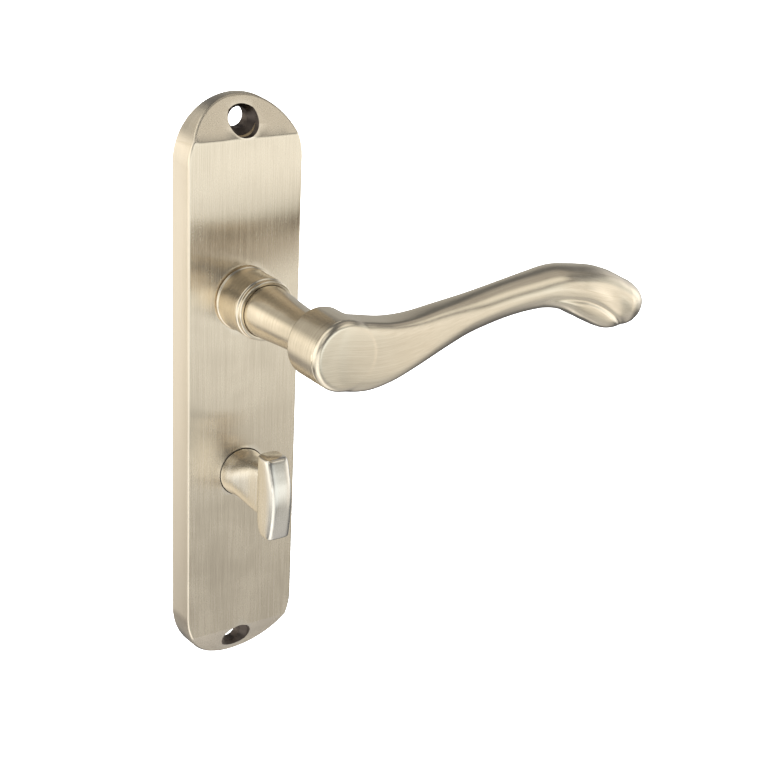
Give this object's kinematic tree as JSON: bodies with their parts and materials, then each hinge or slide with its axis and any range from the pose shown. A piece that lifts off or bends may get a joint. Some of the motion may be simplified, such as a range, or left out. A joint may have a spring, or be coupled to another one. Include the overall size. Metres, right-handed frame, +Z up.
{
  "type": "door lever handle",
  "caption": "Sprung door lever on a long backplate with sloped ends, with a bathroom thumb turn below and screw holes at each end.",
  "frame": {"origin": "where the lever's spindle axis meets the door face", "axes": "+Z up the backplate, +Y into the door, so the handle faces -Y; the lever points to +X at rest"},
  "size_m": [0.1308, 0.0912, 0.185],
  "materials": {
    "satin_nickel": "satin nickel plate over cast zinc, finely brushed, warm champagne grey",
    "zinc_plated_steel": "bright zinc plated",
    "spring_steel": "dark oiled spring steel",
    "black_nylon": "moulded black nylon"
  },
  "bodies": {
    "backplate": {"cover_plate": "satin_nickel", "bearing_collar": "satin_nickel", "lever_bush": "black_nylon", "turn_bush": "black_nylon", "rest_stop_pin": "zinc_plated_steel", "down_stop_pin": "zinc_plated_steel", "spring_anchor_pin": "zinc_plated_steel", "return_spring": "spring_steel"},
    "lever": {"lever_handle": "satin_nickel", "lever_wave_washer": "spring_steel", "lever_cam": "zinc_plated_steel", "lever_retaining_washer": "zinc_plated_steel", "lever_circlip": "spring_steel", "lever_spindle": "zinc_plated_steel"},
    "turn": {"thumb_turn": "satin_nickel", "turn_spindle": "zinc_plated_steel", "turn_spindle_pin": "spring_steel", "turn_wave_washer": "spring_steel", "turn_retaining_washer": "zinc_plated_steel", "turn_circlip": "spring_steel"}
  },
  "joints": [
    {"name": "lever_press", "type": "hinge", "parent": "backplate", "child": "lever", "pos_m": [0, 0, 0], "axis": [0, 1, 0], "range_deg": [0, 40], "stiffness_Nm_per_rad": 0.6, "springref_deg": -45.84, "deforming": ["return_spring"]},
    {"name": "turn_lock", "type": "hinge", "parent": "backplate", "child": "turn", "pos_m": [0, 0, -0.057], "axis": [0, 1, 0], "range_deg": [0, 90]}
  ]
}
